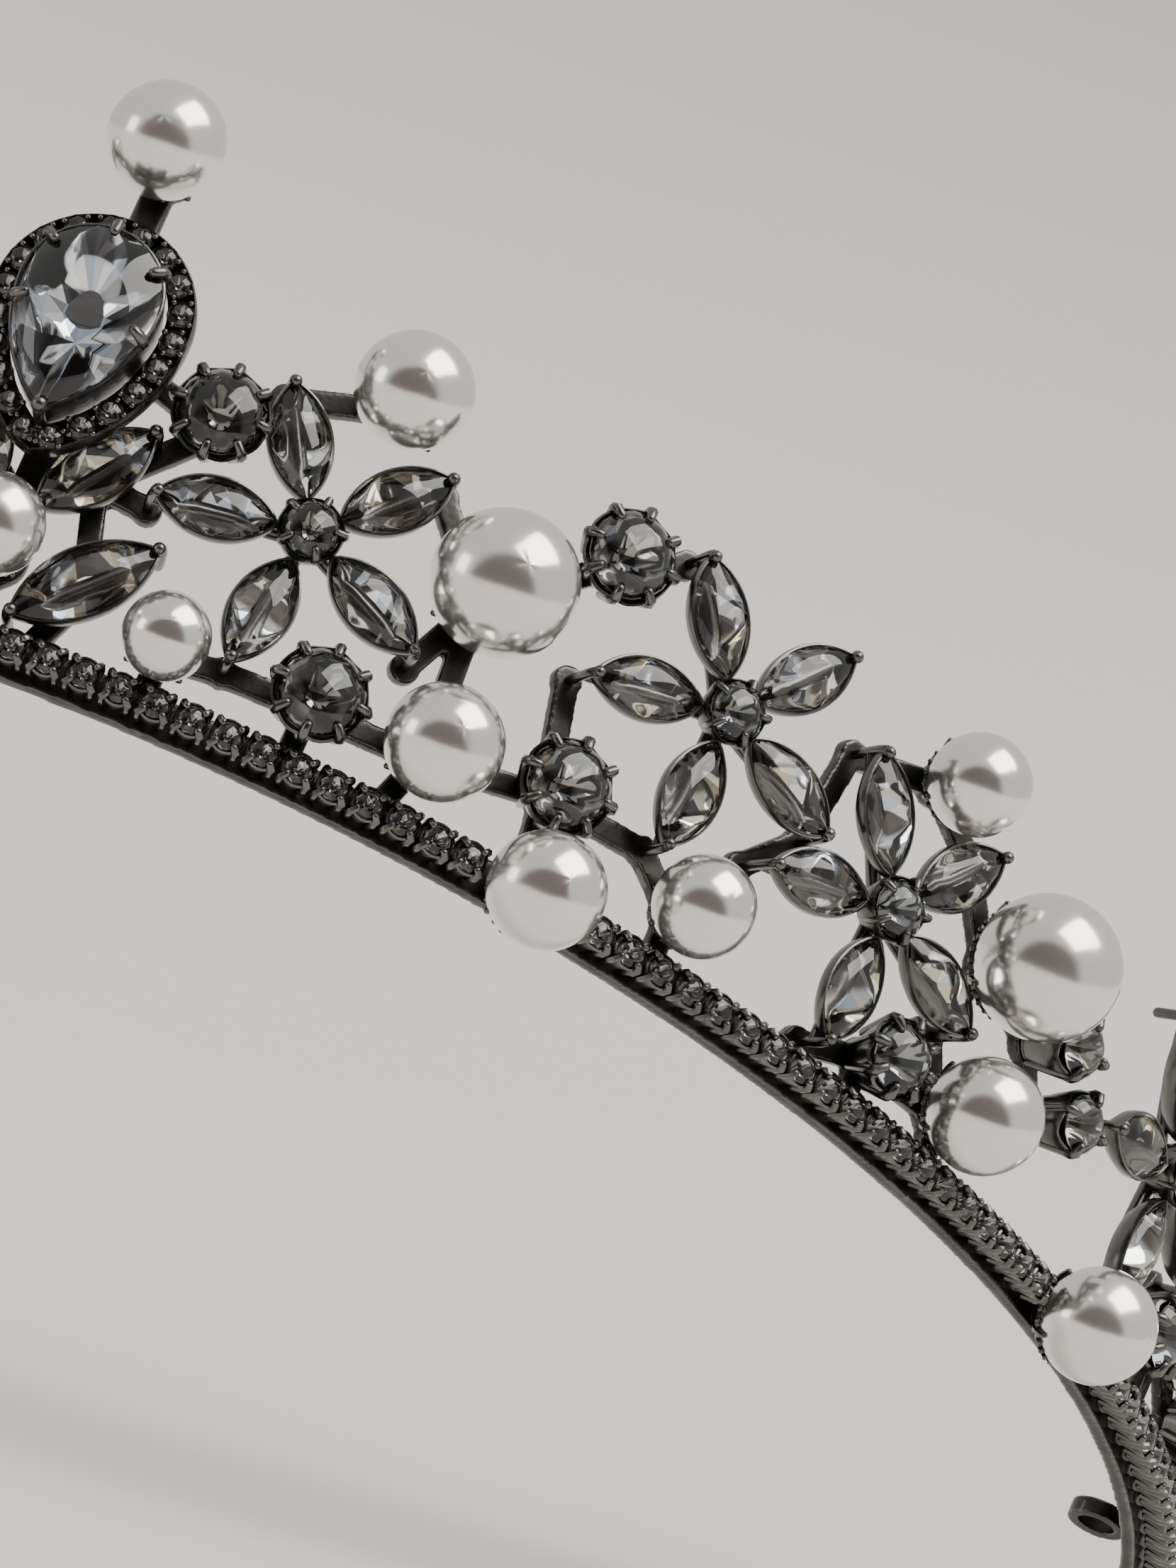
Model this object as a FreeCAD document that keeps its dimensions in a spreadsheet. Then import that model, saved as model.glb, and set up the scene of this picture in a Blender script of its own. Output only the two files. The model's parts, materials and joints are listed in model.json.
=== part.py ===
"""Bridal tiara: a dark metal hoop with flowers, leaves, round stones, a haloed pear stone and pearls.

The hoop lies in its own plane, and every piece has a place on it: a station along the band from the
middle of the front, a height above the band's lower edge, and a standoff from the band's inner face.
Each piece is first made in a seat frame: X to the right, Y up and Z outwards, as it looks from the front.
At the end the whole hoop is tilted back to the way it is worn, with the front raised.
"""
import FreeCAD
import Part
import math
import os

App = FreeCAD
doc = App.newDocument("bridal_tiara")
sheet = doc.addObject("Spreadsheet::Sheet", "dims")

DIMENSIONS = [
    ("band_radius", 82.0),
    ("band_thick", 1.1),
    ("band_tall", 3.0),
    ("band_half_angle", 103.0),
    ("wear_tilt", 26.0),
    ("band_pitch", 2.45),
    ("band_stone", 2.1),
    ("band_cup_deep", 2.2),
    ("cup_wall", 0.35),
    ("claw_radius", 0.42),
    ("petal_wide", 4.0),
    ("petal_long", 8.0),
    ("petal_reach", 6.3),
    ("petal_girdle", 2.9),
    ("marquise_crown", 0.6),
    ("marquise_deep", 1.5),
    ("centre_stone", 4.0),
    ("centre_girdle", 3.7),
    ("post_extra", 0.7),
    ("leaf_girdle", 2.1),
    ("leaf_a_wide", 4.2),
    ("leaf_a_long", 9.2),
    ("leaf_b_wide", 4.6),
    ("leaf_b_long", 10.6),
    ("leaf_c_wide", 4.0),
    ("leaf_c_long", 8.0),
    ("chaton_big", 6.0),
    ("chaton_mid", 5.0),
    ("chaton_small", 4.0),
    ("chaton_girdle", 3.6),
    ("small_girdle", 4.4),
    ("pear_round", 4.7),
    ("pear_side", 10.4),
    ("pear_crown", 1.4),
    ("pear_deep", 3.2),
    ("pear_girdle", 6.7),
    ("pear_stem", 2.0),
    ("pear_claw", 0.5),
    ("halo_wide", 2.15),
    ("halo_back", 2.9),
    ("halo_thick", 1.2),
    ("halo_stone", 1.8),
    ("pearl_ten", 10.0),
    ("pearl_eight", 8.0),
    ("pearl_seven", 7.0),
    ("pearl_six", 6.0),
    ("pearl_gap", 0.4),
    ("peg_radius", 0.45),
    ("rib_wide", 1.0),
    ("rib_deep", 0.6),
    ("rib_back", 0.8),
    ("bar_wide", 1.7),
    ("pad_radius", 1.5),
    ("centre_pad", 2.2),
    ("centre_bar", 2.2),
    ("loop_bore", 1.3),
    ("loop_outer", 2.1),
    ("loop_tall", 1.2),
    ("eyelet_bore", 1.5),
    ("eyelet_outer", 2.8),
    ("eyelet_margin", 0.3),
]
for row, (alias, value) in enumerate(DIMENSIONS, start=1):
    sheet.set("A%d" % row, alias)
    sheet.set("B%d" % row, str(value))
    sheet.setAlias("B%d" % row, alias)
doc.recompute()


def dim(alias):
    """A driving dimension, as a plain number in millimetres or degrees."""
    return float(sheet.get(alias))


X_AXIS = App.Vector(1, 0, 0)
Z_AXIS = App.Vector(0, 0, 1)
WORN = App.Placement(App.Vector(), App.Rotation(X_AXIS, -dim("wear_tilt")))
PETALS = 5
HALO_STONES = 20
CROWN_TOP = 45.0
PEAR_CLAWS = (35, 90, 145, 205, 335)
SHELL_REACH = 4.0
NODES = []


# Small helpers for the document's own primitives and booleans ---------------------------------------

def primitive(kind, name, sizes, place=None):
    """A Part primitive whose sizes, and place where given, are expressions on the sheet."""
    piece = doc.addObject("Part::" + kind, name)
    for size, expression in sizes.items():
        piece.setExpression(size, expression)
    for axis, expression in (place or {}).items():
        piece.setExpression(".Placement.Base." + axis, expression)
    return piece


def cut(name, base, tool):
    piece = doc.addObject("Part::Cut", name)
    piece.Base = base
    piece.Tool = tool
    return piece


def fuse(name, pieces):
    piece = doc.addObject("Part::MultiFuse", name)
    piece.Shapes = pieces
    return piece


def common(name, pieces):
    piece = doc.addObject("Part::MultiCommon", name)
    piece.Shapes = pieces
    return piece


def cone(name, low, high, deep, bottom):
    """A cone frustum along Z, from height bottom, with radius low there and high at its top."""
    return primitive("Cone", name, {"Radius1": low, "Radius2": high, "Height": deep}, {"z": bottom})


def claw(name, across, foot, tip):
    """A round claw at distance across on the Y axis: a post from foot to tip with a ball on it."""
    post = primitive("Cylinder", name + "_post",
                     {"Radius": "dims.claw_radius", "Height": "%s - (%s)" % (tip, foot)},
                     {"y": across, "z": foot})
    ball = primitive("Sphere", name + "_ball", {"Radius": "dims.claw_radius * 1.25"},
                     {"y": across, "z": tip})
    return fuse(name, [post, ball])


# Stones and cups, each in its seat frame with Z = 0 on the band's outer face ------------------------

def round_stone(name, size, girdle):
    """A round stone: a cone below the girdle and a flatter one with a table above it."""
    deep = size + " * 0.4"
    low = cone(name + "_low", size + " * 0.05", size + " / 2", deep, girdle + " - " + deep)
    top = cone(name + "_top", size + " / 2", size + " * 0.29", size + " * 0.16", girdle)
    return fuse(name, [low, top])


def lens(name, wide, long, bottom, deep, grow_low, grow_top):
    """A pointed oval, wide by long, with walls that lean: two leaning round walls crossed."""
    arc = "(({1})^2 + ({0})^2) / (4 * ({0}))".format(wide, long)
    walls = []
    for side, sign in (("right", ""), ("left", "-")):
        wall = primitive(
            "Cone", name + "_" + side,
            {"Radius1": arc + " + " + grow_low, "Radius2": arc + " + " + grow_top, "Height": deep},
            {"x": "%s(%s - (%s) / 2)" % (sign, arc, wide), "z": bottom})
        walls.append(wall)
    return common(name, walls)


def marquise(name, wide, long, girdle):
    """A marquise stone: pointed oval crown and keel."""
    keel = girdle + " - dims.marquise_deep"
    low = lens(name + "_low", wide, long, keel, "dims.marquise_deep", "-1.3", "0")
    top = lens(name + "_top", wide, long, girdle, "dims.marquise_crown", "0", "-0.75")
    return fuse(name, [low, top])


def marquise_setting(name, wide, long, girdle, stone, foot):
    """The cup of a marquise stone, with a claw at each point that reaches down to foot."""
    deep = "dims.marquise_deep + 0.4"
    cup = lens(name + "_cup", wide, long, "%s - (%s)" % (girdle, deep), deep, "-0.6", "dims.cup_wall")
    claws = [claw(name + "_" + end, "%s(%s) / 2" % (sign, long), foot, girdle + " + 0.45")
             for end, sign in (("upper", ""), ("lower", "-"))]
    whole = fuse(name + "_whole", [cup] + claws)
    return cut(name, whole, stone)


def round_setting(name, size, girdle, stone, claws):
    """The cup of a round stone, with claws evenly round it, one of them at the top."""
    cup = cone(name + "_cup", size + " * 0.3", size + " / 2 + dims.cup_wall", girdle, "0")
    doc.recompute()
    parts = [cup.Shape]
    model = claw(name + "_claw", size + " / 2 + 0.1", girdle + " * 0.4", girdle + " + 0.45")
    doc.recompute()
    for index in range(claws):
        turned = model.Shape.copy()
        turned.rotate(App.Vector(), Z_AXIS, index * 360.0 / claws)
        parts.append(turned)
    doc.recompute()
    setting = doc.addObject("Part::Feature", name)
    setting.Shape = parts[0].fuse(parts[1:]).cut(stone.Shape)
    return setting


def pear_solid(name, bottom, deep, grow_low, grow_top):
    """A pear outline with leaning walls: a round end joined to the lower half of a pointed oval."""
    radius = "dims.pear_round + "
    end = cone(name + "_round", radius + grow_low, radius + grow_top, deep, bottom)
    walls = []
    for side, sign in (("right", ""), ("left", "-")):
        sizes = {"Radius1": "dims.pear_side + " + grow_low, "Radius2": "dims.pear_side + " + grow_top,
                 "Height": deep}
        place = {"x": sign + "(dims.pear_side - dims.pear_round)", "z": bottom}
        walls.append(primitive("Cone", name + "_" + side, sizes, place))
    room = "2 * dims.pear_side"
    half = primitive("Box", name + "_half", {"Length": "2 * " + room, "Width": room, "Height": room},
                     {"x": "-" + room, "y": "-" + room, "z": "-dims.pear_side"})
    return fuse(name, [end, common(name + "_point", walls + [half])])


def pearl(name, size):
    """A pearl drilled from behind, resting pearl_gap above the band's face."""
    ball = primitive("Sphere", name + "_ball", {"Radius": size + " / 2"},
                     {"z": "dims.pearl_gap + " + size + " / 2"})
    drill = primitive("Cylinder", name + "_drill",
                      {"Radius": "dims.peg_radius + 0.05", "Height": "dims.pearl_gap + " + size + " * 0.65"})
    return cut(name, ball, drill)


def pearl_cup(name, size):
    """A shallow bowl under a pearl, with the peg that the pearl is glued on."""
    bowl_deep = "dims.pearl_gap + " + size + " * 0.125"
    bowl = cone(name + "_bowl", size + " * 0.17", size + " * 0.35", bowl_deep, "0")
    ball = primitive("Sphere", name + "_room", {"Radius": size + " / 2"},
                     {"z": "dims.pearl_gap + " + size + " / 2"})
    peg = primitive("Cylinder", name + "_peg",
                    {"Radius": "dims.peg_radius", "Height": "dims.pearl_gap + " + size + " * 0.6"})
    return fuse(name, [cut(name + "_hollow", bowl, ball), peg])


# The layout: where each piece sits on the right half. The left half mirrors it ---------------------

FLOWERS = [
    # station, height, turn of the first petal from upright
    (17.9, 16.5, -28.0),
    (47.3, 19.3, -33.0),
    (63.5, 14.3, -32.0),
    (98.5, 15.2, -29.0),
]
PEARLS = {
    "ten": [(29.9, 18.3), (74.9, 17.0)],
    "eight": [(20.2, 28.0), (30.6, 6.9), (40.2, 1.3), (75.8, 6.2), (94.2, 1.3), (113.2, 9.4)],
    "seven": [(50.4, 6.3), (65.2, 24.9)],
    "six": [(12.4, 5.7), (134.5, 6.2)],
}
CHATONS = {
    "big": [(9.9, 21.5), (22.5, 6.5), (36.9, 25.0), (39.1, 8.8), (121.6, 7.2)],
    "mid": [(68.3, 5.9), (104.6, 6.3)],
    "small": [(81.6, 15.0), (84.4, 10.9), (140.2, 5.6)],
}
LEAVES = {
    # foot and tip of each leaf
    "leaf_a": ((1.4, 11.3), (6.7, 19.0)),
    "leaf_b": ((2.6, 3.7), (9.9, 11.4)),
    "leaf_c": ((126.2, 5.1), (131.4, 11.3)),
}
PEAR_PLACE = (0.0, 24.8)
TOP_PEARL = (0.0, 37.6)
LOW_PEARL = (0.0, 8.0)
LOW_PEARL_LIFT = 1.0


def seat(station, height, spin=0.0, lift=0.0):
    """Placement of a seat frame on the band's outer face; spin turns it clockwise, seen from outside."""
    turn = station / dim("band_radius")
    reach = dim("band_radius") + dim("band_thick") + lift
    spot = App.Vector(reach * math.sin(turn), -reach * math.cos(turn), height)
    facing = App.Rotation(Z_AXIS, math.degrees(turn)) * App.Rotation(X_AXIS, 90)
    return App.Placement(spot, facing * App.Rotation(Z_AXIS, -spin))


def put(shape, station, height, spin=0.0, lift=0.0):
    """A copy of a seat-frame shape, on the hoop."""
    copy = shape.copy()
    copy.Placement = seat(station, height, spin, lift).multiply(shape.Placement)
    return copy


def seated(shape):
    """A placed setting with its posts trimmed where they meet the curved shell of the band."""
    core = Part.makeCylinder(dim("band_radius") + dim("band_thick"), CROWN_TOP + 5, App.Vector(0, 0, -5))
    return shape.cut(core)


def node(name, shapes):
    """One named sub-part from one or more separate solids, tilted to the way it is worn."""
    piece = doc.addObject("Part::Feature", name)
    piece.Label = name
    piece.Shape = shapes[0] if len(shapes) == 1 else Part.makeCompound(shapes)
    if len(shapes) == 1:
        piece.Placement = WORN.multiply(shapes[0].Placement)
    else:
        piece.Placement = WORN
    NODES.append(piece)
    return piece


def petal_tip(flower, petal):
    """Station and height of a petal's outer point."""
    station, height, first = flower
    angle = math.radians(first + petal * 360.0 / PETALS)
    reach = dim("petal_reach") + dim("petal_long") / 2
    return (station + reach * math.sin(angle), height + reach * math.cos(angle))


# The masters, one of each kind of piece -------------------------------------------------------------

def make_flower():
    """A flower setting and its petal stones, from one petal turned five times round a centre cup."""
    stone = marquise("petal_stone", "dims.petal_wide", "dims.petal_long", "dims.petal_girdle")
    unit = marquise_setting("petal_unit", "dims.petal_wide", "dims.petal_long", "dims.petal_girdle",
                            stone, "dims.petal_girdle - dims.marquise_deep")
    post = primitive("Cylinder", "petal_post",
                     {"Radius": "dims.claw_radius", "Height": "dims.petal_girdle + dims.post_extra"},
                     {"y": "dims.petal_reach + dims.petal_long / 2 + 0.1", "z": "-dims.post_extra"})
    centre = round_stone("flower_centre", "dims.centre_stone", "dims.centre_girdle")
    doc.recompute()
    back = dim("rib_back")
    wide = dim("rib_wide")
    cup = Part.makeCone(dim("centre_stone") * 0.36, dim("centre_stone") / 2 + dim("cup_wall"),
                        dim("centre_girdle") - back, App.Vector(0, 0, back))
    petals = []
    arms = [cup]
    for index in range(PETALS):
        turn = -index * 360.0 / PETALS
        petal = stone.Shape.copy()
        petal.translate(App.Vector(0, dim("petal_reach"), 0))
        petal.rotate(App.Vector(), Z_AXIS, turn)
        petals.append(petal)
        arm = unit.Shape.copy()
        arm.translate(App.Vector(0, dim("petal_reach"), 0))
        arm.rotate(App.Vector(), Z_AXIS, turn)
        foot = post.Shape.copy()
        foot.rotate(App.Vector(), Z_AXIS, turn)
        rib = Part.makeBox(wide, dim("petal_reach") + dim("petal_long") / 2, dim("rib_deep"),
                           App.Vector(-wide / 2, 0, back))
        rib.rotate(App.Vector(), Z_AXIS, turn)
        arms += [arm, foot, rib]
    setting = arms[0].fuse(arms[1:]).cut(Part.makeCompound(petals + [centre.Shape]))
    return setting, petals, centre.Shape


def make_pear():
    """The pear stone, its cup with claws, the halo plate round it and the halo's stones."""
    low = pear_solid("pear_low", "dims.pear_girdle - dims.pear_deep", "dims.pear_deep", "-3.4", "0")
    top = pear_solid("pear_top", "dims.pear_girdle", "dims.pear_crown", "0", "-1.6")
    stone = fuse("pear_gem", [low, top])
    cup = pear_solid("pear_cup", "dims.pear_girdle - dims.pear_deep - 0.3", "dims.pear_deep + 0.2",
                     "-2.0", "0.2")
    outer = pear_solid("halo_outer", "dims.halo_back", "dims.halo_thick", "dims.halo_wide - 0.05",
                       "dims.halo_wide")
    stem = primitive("Cylinder", "pear_stem_post",
                     {"Radius": "dims.pear_stem", "Height": "dims.pear_girdle - dims.pear_deep"})
    gem = round_stone("halo_gem", "dims.halo_stone", "dims.halo_back + dims.halo_thick")
    doc.recompute()
    claws = []
    reach = dim("pear_round")
    for angle in PEAR_CLAWS:
        claws.append((reach * math.cos(math.radians(angle)), reach * math.sin(math.radians(angle))))
    claws.append((0.0, -math.sqrt(dim("pear_side") ** 2 - (dim("pear_side") - dim("pear_round")) ** 2)))
    parts = [cup.Shape, stem.Shape]
    tall = dim("pear_girdle") + dim("pear_claw") - dim("halo_back")
    for across, up in claws:
        spot = App.Vector(across, up, dim("halo_back"))
        parts.append(Part.makeCylinder(dim("pear_claw"), tall, spot))
        parts.append(Part.makeSphere(dim("pear_claw") * 1.25, spot + App.Vector(0, 0, tall)))
    gems = []
    for across, up in halo_spots():
        jewel = gem.Shape.copy()
        jewel.translate(App.Vector(across, up, 0))
        gems.append(jewel)
    jewels = Part.makeCompound(gems + [stone.Shape])
    setting = parts[0].fuse(parts[1:]).cut(jewels)
    plate = outer.Shape.cut(setting).cut(jewels)
    return setting, stone.Shape, plate, gems


def halo_spots():
    """Centres of the halo's stones, evenly along the pear's outline moved out to the halo's middle."""
    out = dim("halo_wide") * 0.54
    end = dim("pear_round") + out
    side = dim("pear_side") + out
    middle = dim("pear_side") - dim("pear_round")
    sweep = math.acos(middle / side)
    half_end = end * math.pi / 2
    whole = 2 * (half_end + side * sweep)
    spots = []
    for index in range(HALO_STONES):
        along = (index + 0.5) * whole / HALO_STONES
        right = along <= whole / 2
        if not right:
            along = whole - along
        if along <= half_end:
            angle = math.pi / 2 - along / end
            spot = (end * math.cos(angle), end * math.sin(angle))
        else:
            angle = (along - half_end) / side
            spot = (side * math.cos(angle) - middle, -side * math.sin(angle))
        spots.append((spot[0] if right else -spot[0], spot[1]))
    return spots


def make_chaton(kind, girdle, claws):
    size = "dims.chaton_" + kind
    stone = round_stone("chaton_stone_" + kind, size, girdle)
    doc.recompute()
    setting = round_setting("chaton_cup_" + kind, size, girdle, stone, claws)
    return setting.Shape, stone.Shape


def make_leaf(kind):
    wide = "dims.%s_wide" % kind
    long = "dims.%s_long" % kind
    stone = marquise(kind + "_gem", wide, long, "dims.leaf_girdle")
    setting = marquise_setting(kind + "_setting", wide, long, "dims.leaf_girdle", stone,
                               "-dims.post_extra")
    doc.recompute()
    return setting.Shape, stone.Shape


def make_band_cup():
    """One small cup of the band's row, with its stone."""
    stone = round_stone("band_gem", "dims.band_stone", "dims.band_cup_deep")
    body = cone("band_cup_body", "dims.band_stone * 0.42", "dims.band_pitch * 0.485",
                "dims.band_cup_deep", "0")
    cup = cut("band_cup", body, stone)
    doc.recompute()
    return cup.Shape, stone.Shape


# The band itself ------------------------------------------------------------------------------------

def hoop_sector(name, start, sweep):
    """A piece of the band's plain ring; its start and sweep are in degrees, from the front to the right."""
    outer = primitive("Cylinder", name + "_outer",
                      {"Radius": "dims.band_radius + dims.band_thick", "Height": "dims.band_tall",
                       "Angle": str(sweep)})
    inner = primitive("Cylinder", name + "_inner",
                      {"Radius": "dims.band_radius", "Height": "dims.band_tall + 2"}, {"z": "-1"})
    sector = cut(name, outer, inner)
    sector.Placement = App.Placement(App.Vector(), App.Rotation(Z_AXIS, start - 90))
    return sector


def make_band():
    """The strip, open at the back, and at each end a flat eyelet whose neck meets the strip's end."""
    half = dim("band_half_angle")
    body = hoop_sector("base_band", -half, 2 * half)
    body.Label = "base_band"
    body.Placement = WORN.multiply(body.Placement)
    NODES.append(body)
    end = math.radians(half) * dim("band_radius") + dim("eyelet_outer")
    reach = dim("eyelet_outer") - dim("eyelet_bore") - dim("eyelet_margin")
    sweep = math.degrees(reach / dim("band_radius"))
    for side, sign in (("right", 1), ("left", -1)):
        disc = primitive("Cylinder", "eyelet_disc_" + side,
                         {"Radius": "dims.eyelet_outer", "Height": "dims.band_thick"})
        hole = primitive("Cylinder", "eyelet_hole_" + side,
                         {"Radius": "dims.eyelet_bore", "Height": "dims.band_thick"})
        disc.Placement = seat(sign * end, dim("band_tall") / 2, 0.0, -dim("band_thick"))
        hole.Placement = disc.Placement
        neck = hoop_sector("eyelet_neck_" + side, half if sign > 0 else -half - sweep, sweep)
        eyelet = fuse("end_eyelet_" + side, [cut("eyelet_ring_" + side, disc, hole), neck])
        eyelet.Label = "end_eyelet_" + side
        eyelet.Placement = WORN
        NODES.append(eyelet)


def make_loops():
    """A short tube on the band's inner face at each side, square to the band, for a hairpin or ribbon."""
    station = math.radians(90) * dim("band_radius")
    for side, sign in (("right", 1), ("left", -1)):
        tube = primitive("Cylinder", "loop_tube_" + side,
                         {"Radius": "dims.loop_outer", "Height": "dims.loop_tall"})
        bore = primitive("Cylinder", "loop_bore_" + side,
                         {"Radius": "dims.loop_bore", "Height": "dims.loop_tall"})
        loop = cut("pin_loop_" + side, tube, bore)
        loop.Label = "pin_loop_" + side
        reach = dim("band_radius") - dim("loop_outer")
        turn = sign * station / dim("band_radius")
        low = (dim("band_tall") - dim("loop_tall")) / 2
        spot = App.Vector(reach * math.sin(turn), -reach * math.cos(turn), low)
        loop.Placement = WORN.multiply(App.Placement(spot, App.Rotation()))
        NODES.append(loop)


# The fretwork: flat bars and pads in the same shell as the strip, standing on its upper edge --------

def bars():
    """End points of the flat bars on the right half, each a pair of (station, height)."""
    one, two, three, four = FLOWERS
    ten, eight, seven, six = PEARLS["ten"], PEARLS["eight"], PEARLS["seven"], PEARLS["six"]
    big, mid, small = CHATONS["big"], CHATONS["mid"], CHATONS["small"]
    leaf_a, leaf_b, leaf_c = [middle_of(LEAVES[name]) for name in ("leaf_a", "leaf_b", "leaf_c")]
    foot = dim("band_tall") - 0.5

    def down(point, shift=0.0):
        return (point, (point[0] + shift, foot))

    return [
        (PEAR_PLACE, big[0]), (big[0], petal_tip(one, 0)), (petal_tip(one, 0), eight[0]),
        (petal_tip(one, 1), ten[0]), (petal_tip(one, 2), ten[0]), (ten[0], eight[1]),
        down(eight[1], -1.5), (eight[1], big[1]), down(big[1]), (big[1], petal_tip(one, 3)),
        down(six[0]), (six[0], petal_tip(one, 3)), (leaf_a, petal_tip(one, 4)), (leaf_a, (0.0, 12.0)),
        (leaf_a, big[0]), (leaf_b, leaf_a), down(leaf_b, -2.0),
        (eight[1], big[3]), down(big[3], 0.8), (big[3], petal_tip(two, 3)), (big[3], petal_tip(two, 4)),
        (ten[0], big[2]), (big[2], petal_tip(two, 0)), (petal_tip(two, 3), seven[0]), down(seven[0]),
        (seven[0], petal_tip(three, 4)), (petal_tip(two, 2), petal_tip(three, 4)),
        (petal_tip(two, 2), petal_tip(three, 0)),
        down(petal_tip(three, 3), -1.5), (mid[0], eight[3]), down(mid[0]), (mid[0], petal_tip(three, 3)),
        (petal_tip(three, 0), seven[1]), (petal_tip(three, 1), seven[1]), (petal_tip(three, 1), ten[1]),
        (petal_tip(three, 2), ten[1]), (petal_tip(three, 2), eight[3]), down(eight[3], 1.5),
        (ten[1], small[0]), (small[0], small[1]), (small[1], eight[3]), (small[1], petal_tip(four, 4)),
        down(petal_tip(four, 3), -3.5), down(mid[1]), (mid[1], petal_tip(four, 2)),
        (mid[1], petal_tip(four, 3)), (petal_tip(four, 2), eight[5]), down(eight[5]), (eight[5], big[4]),
        down(big[4]), (big[4], leaf_c), down(leaf_c), (leaf_c, six[1]), down(six[1]), (six[1], small[2]),
        down(small[2]),
    ]


def middle_of(leaf):
    (near, low), (far, high) = leaf
    return ((near + far) / 2, (low + high) / 2)


def leaf_spin(leaf):
    (near, low), (far, high) = leaf
    return math.degrees(math.atan2(far - near, high - low))


def pads():
    """Places on the right half where a piece stands on the fretwork."""
    spots = [middle_of(leaf) for leaf in LEAVES.values()]
    for group in list(CHATONS.values()) + list(PEARLS.values()):
        spots += [spot for spot in group if spot[1] > dim("band_tall")]
    return spots


def bar_block(start, end, wide):
    """A block through the shell along the line between two places."""
    station = (start[0] + end[0]) / 2
    height = (start[1] + end[1]) / 2
    run = math.hypot(end[0] - start[0], end[1] - start[1])
    spin = math.degrees(math.atan2(end[0] - start[0], end[1] - start[1]))
    block = Part.makeBox(wide, run, SHELL_REACH * 1.5, App.Vector(-wide / 2, -run / 2, -SHELL_REACH))
    block.Placement = seat(station, height, spin)
    return block


def pad_block(spot, radius):
    block = Part.makeCylinder(radius, SHELL_REACH * 1.5, App.Vector(0, 0, -SHELL_REACH))
    block.Placement = seat(spot[0], spot[1])
    return block


def mirror_spot(spot):
    return (-spot[0], spot[1])


def make_fretwork():
    """The bars and pads, cut from the shell between the band's inner and outer faces."""
    radius, thick, tall = dim("band_radius"), dim("band_thick"), dim("band_tall")
    full = Part.makeCylinder(radius + thick, CROWN_TOP, App.Vector(0, 0, tall))
    shell = full.cut(Part.makeCylinder(radius, CROWN_TOP + 2, App.Vector(0, 0, tall - 1)))
    wide = dim("bar_wide")
    middle = [bar_block((0.0, tall - 0.5), TOP_PEARL, dim("centre_bar"))]
    middle += [pad_block(spot, dim("centre_pad")) for spot in (PEAR_PLACE, TOP_PEARL, LOW_PEARL)]
    centre = middle[0].fuse(middle[1:]).common(shell)
    node("fretwork_centre", centre.Solids)
    spots = pads()
    ends = sorted({spot for bar in bars() for spot in bar if spot[1] > dim("band_tall")} - set(spots))
    for side, flip in (("right", lambda spot: spot), ("left", mirror_spot)):
        blocks = [bar_block(flip(start), flip(end), wide) for start, end in bars()]
        blocks += [pad_block(flip(spot), dim("pad_radius")) for spot in spots]
        blocks += [pad_block(flip(spot), wide / 2 + 0.2) for spot in ends]
        net = blocks[0].fuse(blocks[1:]).common(shell).cut(centre)
        node("fretwork_" + side, net.Solids)


# Setting everything on the hoop ----------------------------------------------------------------------

def band_stations():
    """Stations of the small cups on the right half, leaving room for the pearls in the band's line."""
    end = math.radians(dim("band_half_angle")) * dim("band_radius") - 1.6
    low_pearls = [spot for group in PEARLS.values() for spot in group if spot[1] < dim("band_tall")]
    room = dim("pearl_eight") * 0.35 + dim("band_pitch") / 2
    stations = []
    station = dim("band_pitch") / 2
    while station < end:
        if all(abs(station - spot[0]) > room for spot in low_pearls):
            stations.append(station)
        station += dim("band_pitch")
    return stations


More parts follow.
